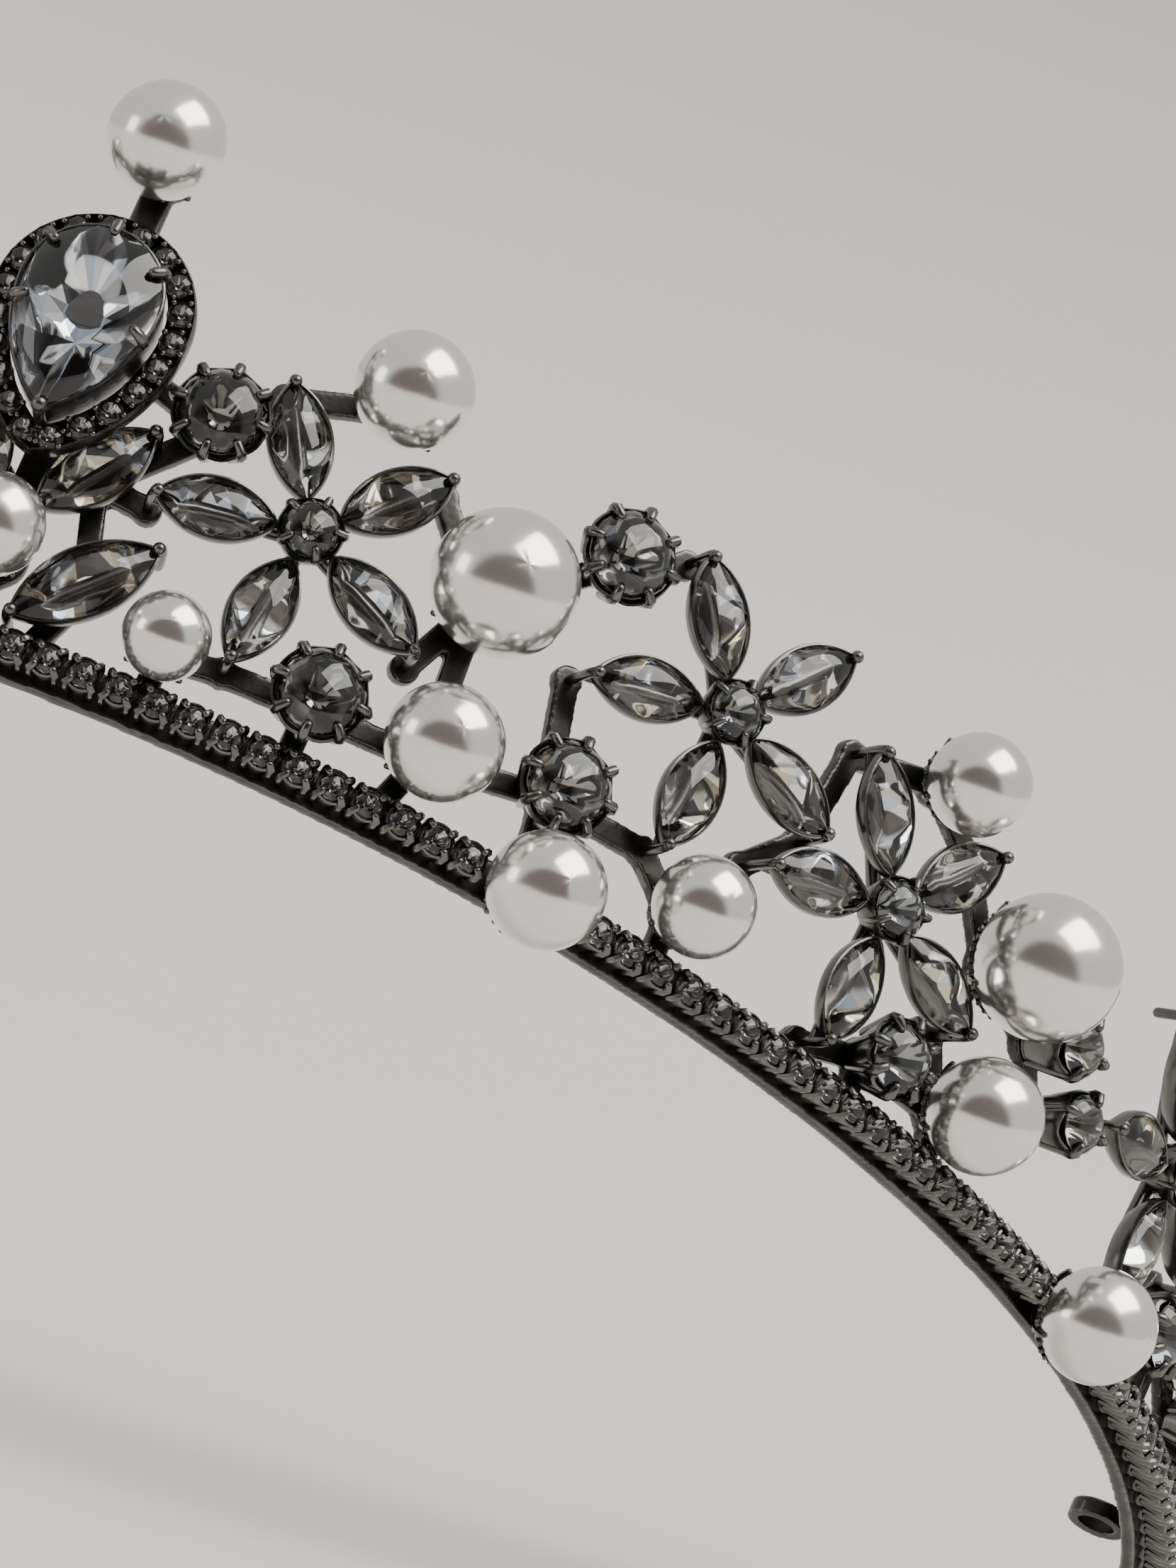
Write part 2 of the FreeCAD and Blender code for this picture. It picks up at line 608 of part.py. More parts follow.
def build():
    make_band()
    make_loops()
    band_cup, band_stone = make_band_cup()
    flower, petals, centre = make_flower()
    pear_setting, pear_stone, halo_plate, halo_stones = make_pear()
    chatons = {
        "big": make_chaton("big", "dims.chaton_girdle", 6),
        "mid": make_chaton("mid", "dims.chaton_girdle", 6),
        "small": make_chaton("small", "dims.small_girdle", 4),
    }
    leaves = {name: make_leaf(name) for name in LEAVES}
    pearls = {}
    for size in PEARLS:
        whole = pearl("pearl_" + size + "_model", "dims.pearl_" + size)
        cup = pearl_cup("pearl_" + size + "_cup", "dims.pearl_" + size)
        pearls[size] = (whole, cup)
    doc.recompute()
    make_fretwork()

    node("pear_setting", [put(pear_setting, *PEAR_PLACE)])
    node("pear_stone", [put(pear_stone, *PEAR_PLACE)])
    node("pear_halo", [put(halo_plate, *PEAR_PLACE)])
    node("halo_stones", [put(stone, *PEAR_PLACE) for stone in halo_stones])

    for side, sign in (("right", 1), ("left", -1)):
        stations = [sign * station for station in band_stations()]
        middle = dim("band_tall") / 2
        node("band_cups_" + side, [put(band_cup, station, middle) for station in stations])
        node("band_stones_" + side, [put(band_stone, station, middle) for station in stations])
        centres = []
        for number, (station, height, spin) in enumerate(FLOWERS, start=1):
            place = (sign * station, height, sign * spin)
            node("flower_setting_%s_%d" % (side, number), [seated(put(flower, *place))])
            node("petal_stones_%s_%d" % (side, number), [put(stone, *place) for stone in petals])
            centres.append(put(centre, *place))
        node("flower_centres_" + side, centres)
        node("round_settings_" + side, [put(chatons[kind][0], sign * spot[0], spot[1])
                                        for kind in CHATONS for spot in CHATONS[kind]])
        node("round_stones_" + side, [put(chatons[kind][1], sign * spot[0], spot[1])
                                      for kind in CHATONS for spot in CHATONS[kind]])
        for index, title in ((0, "leaf_settings_"), (1, "leaf_stones_")):
            shapes = []
            for name, leaf in LEAVES.items():
                spot = middle_of(leaf)
                placed = put(leaves[name][index], sign * spot[0], spot[1], sign * leaf_spin(leaf))
                shapes.append(seated(placed) if index == 0 else placed)
            node(title + side, shapes)
        cups = []
        for size, spots in PEARLS.items():
            whole, cup = pearls[size]
            places = [(sign * spot[0], spot[1]) for spot in spots]
            node("pearls_%s_mm_%s" % (size, side), [put(whole.Shape, *place) for place in places])
            cups += [put(cup.Shape, *place) for place in places]
        node("pearl_cups_" + side, cups)

    node("top_pearl", [put(pearls["eight"][0].Shape, *TOP_PEARL)])
    node("low_pearl", [put(pearls["seven"][0].Shape, *LOW_PEARL, lift=LOW_PEARL_LIFT)])
    foot = App.Vector(0, 0, -LOW_PEARL_LIFT)
    spacer = Part.makeCylinder(dim("pearl_seven") * 0.17, LOW_PEARL_LIFT, foot)
    low_cup = pearls["seven"][1].Shape.fuse(spacer)
    node("centre_pearl_cups", [put(pearls["eight"][1].Shape, *TOP_PEARL),
                               put(low_cup, *LOW_PEARL, lift=LOW_PEARL_LIFT)])


def check_and_write():
    """Refuses a failed object or an empty or invalid shape, then writes one STEP file for each node."""
    doc.recompute()
    for piece in doc.Objects:
        if "Invalid" in piece.State or "Error" in piece.State:
            raise RuntimeError("failed object: " + piece.Name)
    os.makedirs("parts", exist_ok=True)
    for piece in NODES:
        if piece.Shape.isNull() or not piece.Shape.isValid() or not piece.Shape.Solids:
            raise RuntimeError("bad shape: " + piece.Label)
        piece.Shape.exportStep("parts/%s.step" % piece.Label)
        print("%-26s solids %3d volume %8.2f" % (piece.Label, len(piece.Shape.Solids), piece.Shape.Volume))


build()
check_and_write()
print("nodes", len(NODES))
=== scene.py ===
"""Bridal tiara: the looks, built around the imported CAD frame.

The CAD stones and pearls say where everything sits. Each one is read from the frame in the hoop's own
axes (X right, Y back, Z up), given a seat frame of its own (X right, Y up, Z outwards, in millimetres),
and replaced there by a cut stone, a claw setting or a pearl. The band and the fretwork keep their CAD
shape with softened, cast edges.
"""
import bmesh
import bpy
import json
import math
import random
from collections import namedtuple
from mathutils import Matrix, Vector, noise

import numpy as np


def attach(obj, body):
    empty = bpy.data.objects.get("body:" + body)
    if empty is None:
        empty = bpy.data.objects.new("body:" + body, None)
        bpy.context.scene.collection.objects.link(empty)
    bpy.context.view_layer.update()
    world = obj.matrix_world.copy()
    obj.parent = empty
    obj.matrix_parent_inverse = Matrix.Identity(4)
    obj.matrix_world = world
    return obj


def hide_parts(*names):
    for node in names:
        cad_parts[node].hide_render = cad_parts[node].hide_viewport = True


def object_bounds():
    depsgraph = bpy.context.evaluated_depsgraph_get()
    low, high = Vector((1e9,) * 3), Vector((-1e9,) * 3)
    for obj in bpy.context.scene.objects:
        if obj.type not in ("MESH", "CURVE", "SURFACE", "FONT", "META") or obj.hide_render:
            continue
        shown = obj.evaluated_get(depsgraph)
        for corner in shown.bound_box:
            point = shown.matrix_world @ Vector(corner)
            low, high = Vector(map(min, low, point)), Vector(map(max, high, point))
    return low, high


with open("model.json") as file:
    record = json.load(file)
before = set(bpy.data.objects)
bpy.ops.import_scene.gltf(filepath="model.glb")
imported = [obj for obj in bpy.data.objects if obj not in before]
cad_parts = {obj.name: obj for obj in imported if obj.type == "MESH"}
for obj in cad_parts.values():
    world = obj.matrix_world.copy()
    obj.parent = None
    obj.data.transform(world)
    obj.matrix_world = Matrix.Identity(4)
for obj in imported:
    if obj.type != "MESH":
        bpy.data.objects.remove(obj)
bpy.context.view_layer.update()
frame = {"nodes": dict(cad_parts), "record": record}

MM = 0.001
SIDES = ("right", "left")
SHARP = math.radians(48)
random.seed(7)

# The hoop's own frame ---------------------------------------------------------------------------------


def hoop_axes():
    """Matrix from the hoop's axes to the row's: the head seat's axis is the hoop's upward direction."""
    seat_mount = next(m for m in frame["record"]["mounts"] if m["name"] == "head_seat")
    up = Vector(seat_mount["axis"]).normalized()
    right = Vector((1, 0, 0))
    return Matrix((right, up.cross(right), up)).transposed().to_4x4()


HOOP = hoop_axes()


def hoop_points(node):
    """The corner points of a CAD node in the hoop's axes, in metres, one row each."""
    mesh = frame["nodes"][node].data
    points = np.empty(len(mesh.vertices) * 3)
    mesh.vertices.foreach_get("co", points)
    return points.reshape(-1, 3) @ np.array(HOOP.to_3x3())


def solids(node):
    """The separate solids of a CAD node, as arrays of corner points in the hoop's axes."""
    work = bmesh.new()
    work.from_mesh(frame["nodes"][node].data)
    bmesh.ops.remove_doubles(work, verts=work.verts, dist=1e-6)
    found = []
    seen = set()
    axes = np.array(HOOP.to_3x3())
    for start in work.verts:
        if start.index in seen:
            continue
        group = []
        queue = [start]
        seen.add(start.index)
        while queue:
            vert = queue.pop()
            group.append(vert.co[:])
            for edge in vert.link_edges:
                other = edge.other_vert(vert)
                if other.index not in seen:
                    seen.add(other.index)
                    queue.append(other)
        found.append(np.array(group) @ axes)
    work.free()
    return found


BAND_OUT = float(np.hypot(*hoop_points("base_band")[:, :2].T).max())


def seat(turn, height):
    """Matrix of a seat frame, in millimetres, on the band's outer face."""
    right = HOOP.to_3x3() @ Vector((math.cos(turn), math.sin(turn), 0))
    up = HOOP.to_3x3() @ Vector((0, 0, 1))
    out = right.cross(up)
    spot = HOOP @ Vector((BAND_OUT * math.sin(turn), -BAND_OUT * math.cos(turn), height))
    turned = Matrix((right, up, out)).transposed().to_4x4()
    return Matrix.Translation(spot) @ turned @ Matrix.Scale(MM, 4)


def seat_of(points):
    """The seat frame under a solid, at the middle of its box."""
    middle = (points.min(0) + points.max(0)) / 2
    turn = math.atan2(middle[0], -middle[1])
    return seat(turn, middle[2])


def in_seat(points, place):
    """Hoop-frame points, in metres, as seat-frame points, in millimetres."""
    back = np.array(place.inverted() @ HOOP)
    return points @ back[:3, :3].T + back[:3, 3]


Stone = namedtuple("Stone", "place half_wide half_long girdle turn")


def read_round(points, place=None):
    """A round stone's seat, moved to its own axis, with its radius and girdle height."""
    place = place or seat_of(points)
    local = in_seat(points, place)
    middle = (local.min(0) + local.max(0)) / 2
    across = np.hypot(local[:, 0] - middle[0], local[:, 1] - middle[1])
    girdle = local[np.argmax(across), 2]
    moved = place @ Matrix.Translation((middle[0], middle[1], 0))
    return Stone(moved, across.max(), across.max(), girdle, 0.0)


def read_marquise(points, place=None):
    """A pointed stone's seat, turned so that its long axis is Y, with its half sizes."""
    place = place or seat_of(points)
    local = in_seat(points, place)
    middle = local[:, :2].mean(0)
    far = local[np.argmax(np.hypot(*(local[:, :2] - middle).T)), :2]
    other = local[np.argmax(np.hypot(*(local[:, :2] - far).T)), :2]
    centre = (far + other) / 2
    along = far - other
    if np.dot(centre, along) < 0:
        along = -along
    turn = math.atan2(-along[0], along[1])
    moved = place @ Matrix.Translation((centre[0], centre[1], 0)) @ Matrix.Rotation(turn, 4, "Z")
    aligned = in_seat(points, moved)
    half_wide = (aligned[:, 0].max() - aligned[:, 0].min()) / 2
    girdle = aligned[np.argmax(aligned[:, 1]), 2]
    return Stone(moved, half_wide, np.hypot(*along) / 2, girdle, turn)


# Forms: points in millimetres, faces, a smooth flag and a material number for each face ---------------

Form = namedtuple("Form", "points faces smooth kinds")


def polar(radius, angle, height=0.0):
    """A point at a radius and angle about Z."""
    return (radius * math.cos(angle), radius * math.sin(angle), height)


def even_angles(count, first=0.0):
    return [first + 2 * math.pi * index / count for index in range(count)]


def make_form(points, faces, smooth=True, kind=0):
    return Form(np.array(points, float), list(faces), [smooth] * len(faces), [kind] * len(faces))


def moved_form(form, matrix):
    turned = np.array(matrix)
    return form._replace(points=form.points @ turned[:3, :3].T + turned[:3, 3])


def joined(forms):
    points, faces, smooth, kinds = [], [], [], []
    count = 0
    for form in forms:
        points.append(form.points)
        faces += [tuple(corner + count for corner in face) for face in form.faces]
        smooth += form.smooth
        kinds += form.kinds
        count += len(form.points)
    return Form(np.concatenate(points), faces, smooth, kinds)


def grid_faces(rows, columns, wrap_rows=False):
    """Quads between rows of points, each row a closed ring."""
    faces = []
    for row in range(rows if wrap_rows else rows - 1):
        nxt = (row + 1) % rows
        for column in range(columns):
            side = (column + 1) % columns
            faces.append((row * columns + column, row * columns + side, nxt * columns + side,
                          nxt * columns + column))
    return faces


def turned_points(profile, sides, wave):
    """A profile of (radius, height) turned about Z; wave gives each point's growth and lift."""
    points = []
    for radius, height in profile:
        for angle in even_angles(sides):
            grow, lift = wave(angle, height) if wave else (0.0, 0.0)
            points.append(polar(radius + grow, angle, height + lift))
    return points


def lathe(profile, sides=24, wave=None):
    """A closed solid of revolution about Z from an open profile that runs from bottom to top."""
    points = turned_points(profile, sides, wave)
    faces = grid_faces(len(profile), sides)
    last = (len(profile) - 1) * sides
    faces.append(tuple(reversed(range(sides))))
    faces.append(tuple(range(last, last + sides)))
    return make_form(points, faces)


def ring(profile, sides=24, wave=None):
    """A ring about Z with a closed section, such as a cup with an open bottom."""
    return make_form(turned_points(profile, sides, wave), grid_faces(len(profile), sides, wrap_rows=True))


def ball(centre, radius, rows=7, sides=10):
    """A sphere of quads, closed by triangles at its poles."""
    points = []
    for row in range(1, rows):
        tilt = math.pi * (row / rows - 0.5)
        points += [polar(math.cos(tilt), angle, math.sin(tilt)) for angle in even_angles(sides)]
    faces = grid_faces(rows - 1, sides)
    low, high = len(points), len(points) + 1
    points += [(0, 0, -1), (0, 0, 1)]
    last = (rows - 2) * sides
    for index in range(sides):
        side = (index + 1) % sides
        faces.append((low, side, index))
        faces.append((high, last + index, last + side))
    return make_form(np.array(points) * radius + np.array(centre), faces)


def tube(path, radii, sides=8):
    """A round tube through points, with its ends rounded over."""
    path = [Vector(point) for point in path]
    first = (path[1] - path[0]).normalized()
    last = (path[-1] - path[-2]).normalized()
    rounding = ((0.85, 0.5), (0.5, 0.87))
    stations = [(path[0] - first * radii[0] * out, radii[0] * size) for out, size in rounding]
    stations += list(zip(path, radii))
    stations += [(path[-1] + last * radii[-1] * out, radii[-1] * size) for out, size in reversed(rounding)]
    rows = []
    across = first.orthogonal().normalized()
    for index, (point, radius) in enumerate(stations):
        before = stations[max(index - 1, 0)][0]
        after = stations[min(index + 1, len(stations) - 1)][0]
        along = (after - before).normalized()
        across = (across - along * across.dot(along)).normalized()
        other = along.cross(across)
        for angle in even_angles(sides):
            rows.append(point + across * (radius * math.cos(angle)) + other * (radius * math.sin(angle)))
    faces = grid_faces(len(stations), sides)
    end = (len(stations) - 1) * sides
    faces.append(tuple(reversed(range(sides))))
    faces.append(tuple(range(end, end + sides)))
    return make_form(rows, faces)


# Outlines of stones, anticlockwise in the seat's plane ------------------------------------------------


def round_outline(radius, count):
    return [polar(radius, angle)[:2] for angle in even_angles(count)]


def marquise_outline(half_wide, half_long, count):
    """A pointed oval of two arcs, starting at its upper tip; count is even."""
    arc = (half_long ** 2 + half_wide ** 2) / (2 * half_wide)
    reach = math.asin(half_long / arc)
    points = []
    for index in range(count // 2):
        angle = reach * (1 - 4 * index / count)
        points.append((-(arc * math.cos(angle) - (arc - half_wide)), arc * math.sin(angle)))
    return points + [(-x, -y) for x, y in points]


def pear_outline(radius, side, count):
    """A pear with its round end about the origin and its point down; side is the radius of its sides."""
    middle = side - radius
    sweep = math.acos(middle / side)
    half_round = radius * math.pi / 2
    whole = half_round + side * sweep
    points = []
    for index in range(count // 2 + 1):
        along = whole * 2 * index / count
        if along <= half_round:
            angle = math.pi / 2 + along / radius
            points.append((radius * math.cos(angle), radius * math.sin(angle)))
        else:
            angle = (along - half_round) / side
            points.append((-(side * math.cos(angle) - middle), -side * math.sin(angle)))
    return points + [(-x, y) for x, y in reversed(points[1:-1])]


def rail(outline, section):
    """A closed section of (outset, height) points swept round an outline."""
    shape = np.array(outline)
    before = np.roll(shape, 1, axis=0)
    after = np.roll(shape, -1, axis=0)
    along = after - before
    along /= np.hypot(*along.T)[:, None]
    out = np.stack([along[:, 1], -along[:, 0]], axis=1)
    points = []
    for outset, height in section:
        moved = shape + out * outset
        points += [(x, y, height) for x, y in moved]
    return make_form(points, grid_faces(len(section), len(outline), wrap_rows=True))


# Cut stones: each ring of facet corners takes every second point of the outline from a first one, at a
# scale of the outline and a part of the crown's height, or below the girdle of the pavilion's depth ---

PLAIN_CUT = ((1, 0.82, 0.56), (0, 0.56, 1.0), (1, 0.52, -0.58), (0, 0.22, -0.86))
RICH_CUT = ((1, 0.87, 0.46), (0, 0.68, 0.82), (1, 0.45, 1.0),
            (1, 0.74, -0.36), (0, 0.5, -0.62), (1, 0.26, -0.85))
CROWN = 0.42
PAVILION = 0.8
KEEL = 0.42


def cut_stone(outline, crown, depth, keel=0.0, centre=(0.0, 0.0), facets=PLAIN_CUT):
    """A brilliant-cut stone: the convex hull of its table, crown, girdle, pavilion and keel points.

    Its girdle is at height 0. Faces that point downwards are the mirrored pavilion.
    """
    shape = np.array(outline) - np.array(centre)
    thick = crown * 0.09
    levels = [(shape, 1.0, thick), (shape, 1.0, -thick)]
    for first, scale, part in facets:
        levels.append((shape[first::2], scale, part * (crown if part > 0 else depth)))
    points = []
    for part, scale, height in levels:
        points += [(x * scale + centre[0], y * scale + centre[1], height) for x, y in part]
    points += [(centre[0], centre[1] + keel, -depth), (centre[0], centre[1] - keel, -depth)]
    work = bmesh.new()
    for point in points:
        work.verts.new(point)
    bmesh.ops.remove_doubles(work, verts=work.verts, dist=1e-5)
    bmesh.ops.convex_hull(work, input=work.verts)
    loose = [vert for vert in work.verts if not vert.link_faces]
    bmesh.ops.delete(work, geom=loose, context="VERTS")
    bmesh.ops.dissolve_limit(work, angle_limit=math.radians(0.6), verts=work.verts, edges=work.edges)
    bmesh.ops.recalc_face_normals(work, faces=work.faces)
    work.verts.index_update()
    faces = [tuple(vert.index for vert in face.verts) for face in work.faces]
    kinds = [1 if face.normal.z < -0.05 else 0 for face in work.faces]
    form = Form(np.array([vert.co[:] for vert in work.verts]), faces, [False] * len(faces), kinds)
    work.free()
    return form


def raised(form, height):
    return moved_form(form, Matrix.Translation((0, 0, height)))


def round_gem(stone, pavilion=PAVILION):
    """A round brilliant of a stone's radius, at its girdle's height."""
    radius = stone.half_wide
    return raised(cut_stone(round_outline(radius, 16), radius * CROWN, radius * pavilion), stone.girdle)


def marquise_gem(stone, count, crown, pavilion):
    """A pointed brilliant of a stone's half sizes, at its girdle's height."""
    outline = marquise_outline(stone.half_wide, stone.half_long, count)
    gem = cut_stone(outline, stone.half_wide * crown, stone.half_wide * pavilion, keel=stone.half_long * KEEL)
    return raised(gem, stone.girdle)


# Settings ---------------------------------------------------------------------------------------------


def claw(radius, angle, foot, girdle, thick, hook=0.35, over=0.5):
    """A claw beside a round stone: up from the cup's foot, over the girdle, with a rounded tip."""
    path = [(radius * 0.72, foot), (radius * 1.0 + thick * 0.35, girdle - thick * 1.6),
            (radius + thick * 0.8, girdle), (radius + thick * 0.55, girdle + over * 0.75),
            (radius - hook, girdle + over * 1.15)]
    turned = [polar(reach, angle, height) for reach, height in path]
    return tube(turned, [thick * 0.8, thick * 0.95, thick, thick * 0.95, thick * 0.8])


def round_cup(radius, girdle, claws, thick, foot=0.0, first=math.pi / 2, waist=0.55, scallop=0.25):
    """An open basket for a round stone: a scalloped cup wall, a base ring and claws."""
    wall = 0.22 + radius * 0.03
    top = girdle - radius * 0.02

    def wave(angle, height):
        lift = scallop * 0.5 * (math.cos(claws * (angle - first)) - 1) if height > girdle * 0.6 else 0.0
        return (0.0, lift)

    profile = [(radius * waist, foot), (radius * waist + wall, foot), (radius * 0.82 + wall, girdle * 0.5),
               (radius + wall, top - 0.15), (radius + wall * 0.55, top + 0.08), (radius * 0.985, top - 0.1),
               (radius * 0.86, girdle * 0.62), (radius * 0.72, girdle * 0.4)]
    parts = [ring(profile, sides=max(24, claws * 6), wave=wave)]
    base = radius * waist + wall * 0.5
    wire = 0.28
    parts.append(ring([(base + wire * math.cos(angle), foot + 0.25 + wire * math.sin(angle))
                       for angle in even_angles(8)], sides=24))
    for angle in even_angles(claws, first):
        parts.append(claw(radius, angle, foot + 0.3, girdle, thick))
    return joined(parts)


def wall_rail(outline, girdle, foot, wall, shrink):
    """The thin wall of a pointed or pear cup: it leans out from its foot to a rounded rim at the girdle."""
    section = [(-shrink, foot), (-shrink + wall, foot - 0.02), (0.02 + wall * 0.6, girdle - 0.75),
               (wall, girdle - 0.12), (wall * 0.8, girdle + 0.12), (wall * 0.35, girdle + 0.16),
               (-0.02, girdle + 0.02), (-0.06, girdle - 0.3), (-shrink * 0.75, foot + 0.35)]
    return rail(outline, section)


def marquise_cup(half_wide, half_long, girdle, foot):
    """A pointed cup with a keel rib along its length and two ribs across it."""
    outline = marquise_outline(half_wide, half_long, 40)
    parts = [wall_rail(outline, girdle, foot, 0.26, half_wide * 0.36)]
    reach = half_long * 0.82
    keel = [(0, -reach, foot + 0.1), (0, 0, foot - 0.05), (0, reach, foot + 0.1)]
    parts.append(tube(keel, [0.3, 0.42, 0.3]))
    across = half_wide * 0.5
    for along in (-0.38 * half_long, 0.38 * half_long):
        rib = [(-across, along, foot + 0.2), (0, along, foot), (across, along, foot + 0.2)]
        parts.append(tube(rib, [0.2, 0.26, 0.2], sides=6))
    return joined(parts)


def point_claw(half_long, girdle, foot, thick, sign=1.0, bead=1.25):
    """A claw that stands beside a stone's point and ends in a bead over it."""
    path = [(0, sign * (half_long + 0.05), foot), (0, sign * (half_long + 0.22), girdle - 0.6),
            (0, sign * (half_long + 0.2), girdle + 0.2), (0, sign * (half_long - 0.05), girdle + 0.42)]
    parts = [tube(path, [thick, thick, thick * 0.95, thick * 0.85])]
    parts.append(ball((0, sign * (half_long + 0.02), girdle + 0.38), thick * bead))
    return joined(parts)


# Pieces -----------------------------------------------------------------------------------------------


def make_piece(name, forms, places, materials, nodes):
    """One mesh object from forms set at matrices; it rides on the body and replaces its CAD nodes."""
    whole = joined([moved_form(form, place) for form, place in zip(forms, places)])
    mesh = bpy.data.meshes.new(name)
    mesh.from_pydata(whole.points.tolist(), [], whole.faces)
    mesh.polygons.foreach_set("use_smooth", whole.smooth)
    mesh.polygons.foreach_set("material_index", whole.kinds)
    for material in materials:
        mesh.materials.append(material)
    outward = bmesh.new()
    outward.from_mesh(mesh)
    bmesh.ops.recalc_face_normals(outward, faces=outward.faces)
    outward.to_mesh(mesh)
    outward.free()
    mesh.set_sharp_from_angle(angle=SHARP)
    piece = bpy.data.objects.new(name, mesh)
    bpy.context.scene.collection.objects.link(piece)
    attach(piece, "root")
    if nodes:
        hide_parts(*nodes)
    return piece


def cast_copy(name, nodes, voxel, rounds):
    """CAD nodes as one metal casting: voxel remeshed, in mm, and relaxed, so that its edges are soft."""
    points, faces, count = [], [], 0
    for node in nodes:
        mesh = frame["nodes"][node].data
        points += [(vert.co / MM)[:] for vert in mesh.vertices]
        faces += [tuple(index + count for index in face.vertices) for face in mesh.polygons]
        count = len(points)
    mesh = bpy.data.meshes.new(name)
    mesh.from_pydata(points, [], faces)
    weld = bmesh.new()
    weld.from_mesh(mesh)
    bmesh.ops.remove_doubles(weld, verts=weld.verts, dist=1e-3)
    weld.to_mesh(mesh)
    weld.free()
    piece = bpy.data.objects.new(name, mesh)
    bpy.context.scene.collection.objects.link(piece)
    remesh = piece.modifiers.new("cast", "REMESH")
    remesh.mode = "VOXEL"
    remesh.voxel_size = voxel
    relax = piece.modifiers.new("relax", "SMOOTH")
    relax.factor = 0.5
    relax.iterations = rounds
    ready = bpy.data.meshes.new_from_object(piece.evaluated_get(bpy.context.evaluated_depsgraph_get()))
    piece.modifiers.clear()
    piece.data = ready
    bpy.data.meshes.remove(mesh)
    ready.name = name
    ready.transform(Matrix.Scale(MM, 4))
    ready.materials.clear()
    ready.materials.append(METAL)
    ready.polygons.foreach_set("use_smooth", [True] * len(ready.polygons))
    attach(piece, "root")
    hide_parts(*nodes)
    return piece


# Materials --------------------------------------------------------------------------------------------


def new_material(name):
    """A node material with its tree's nodes, links and main shader."""
    material = bpy.data.materials.new(name)
    material.use_nodes = True
    nodes = material.node_tree.nodes
    shader = nodes["Principled BSDF"]
    return material, nodes, material.node_tree.links, shader


def antique_metal():
    """Dark antique silver: polished on its edges, darker and rougher in its recesses, faintly pitted."""
    material, nodes, links, shader = new_material("antique_silver")
    shader.inputs["Metallic"].default_value = 1.0
    where = nodes.new("ShaderNodeTexCoord")
    edge = nodes.new("ShaderNodeNewGeometry")
    worn = nodes.new("ShaderNodeMapRange")
    worn.inputs["From Min"].default_value = 0.46
    worn.inputs["From Max"].default_value = 0.56
    links.new(edge.outputs["Pointiness"], worn.inputs["Value"])
    cloud = nodes.new("ShaderNodeTexNoise")
    cloud.inputs["Scale"].default_value = 420.0
    cloud.inputs["Detail"].default_value = 5.0
    links.new(where.outputs["Object"], cloud.inputs["Vector"])
    blend = nodes.new("ShaderNodeMath")
    blend.operation = "MULTIPLY_ADD"
    blend.inputs[1].default_value = 0.7
    links.new(cloud.outputs["Fac"], blend.inputs[0])
    shift = nodes.new("ShaderNodeMath")
    shift.operation = "MULTIPLY_ADD"
    shift.inputs[1].default_value = 0.75
    shift.inputs[2].default_value = -0.3
    links.new(worn.outputs["Result"], shift.inputs[0])
    links.new(shift.outputs[0], blend.inputs[2])
    tint = nodes.new("ShaderNodeValToRGB")
    tint.color_ramp.elements[0].position = 0.1
    tint.color_ramp.elements[0].color = (0.018, 0.017, 0.016, 1)
    tint.color_ramp.elements[1].position = 0.9
    tint.color_ramp.elements[1].color = (0.16, 0.153, 0.146, 1)
    links.new(blend.outputs[0], tint.inputs["Fac"])
    links.new(tint.outputs["Color"], shader.inputs["Base Color"])
    rough = nodes.new("ShaderNodeMapRange")
    rough.inputs["To Min"].default_value = 0.42
    rough.inputs["To Max"].default_value = 0.2
    links.new(blend.outputs[0], rough.inputs["Value"])
    links.new(rough.outputs["Result"], shader.inputs["Roughness"])
    pits = nodes.new("ShaderNodeTexNoise")
    pits.inputs["Scale"].default_value = 2600.0
    pits.inputs["Detail"].default_value = 3.0
    links.new(where.outputs["Object"], pits.inputs["Vector"])
    bump = nodes.new("ShaderNodeBump")
    bump.inputs["Strength"].default_value = 0.25
    bump.inputs["Distance"].default_value = 0.00006
    links.new(pits.outputs["Fac"], bump.inputs["Height"])
    links.new(bump.outputs["Normal"], shader.inputs["Normal"])
    return material


def crystal(name, pale, cool):
    """Cut glass with a faint cloud of tint, from pale to cool, and a little surface wear."""
    material, nodes, links, shader = new_material(name)
    shader.inputs["IOR"].default_value = 1.58
    shader.inputs["Transmission Weight"].default_value = 1.0
    where = nodes.new("ShaderNodeTexCoord")
    cloud = nodes.new("ShaderNodeTexNoise")
    cloud.inputs["Scale"].default_value = 900.0
    links.new(where.outputs["Object"], cloud.inputs["Vector"])
    tint = nodes.new("ShaderNodeMix")
    tint.data_type = "RGBA"
    tint.inputs["A"].default_value = pale
    tint.inputs["B"].default_value = cool
    links.new(cloud.outputs["Fac"], tint.inputs["Factor"])
    links.new(tint.outputs["Result"], shader.inputs["Base Color"])
    rough = nodes.new("ShaderNodeMapRange")
    rough.inputs["To Min"].default_value = 0.0
    rough.inputs["To Max"].default_value = 0.04
    links.new(cloud.outputs["Fac"], rough.inputs["Value"])
    links.new(rough.outputs["Result"], shader.inputs["Roughness"])
    return material


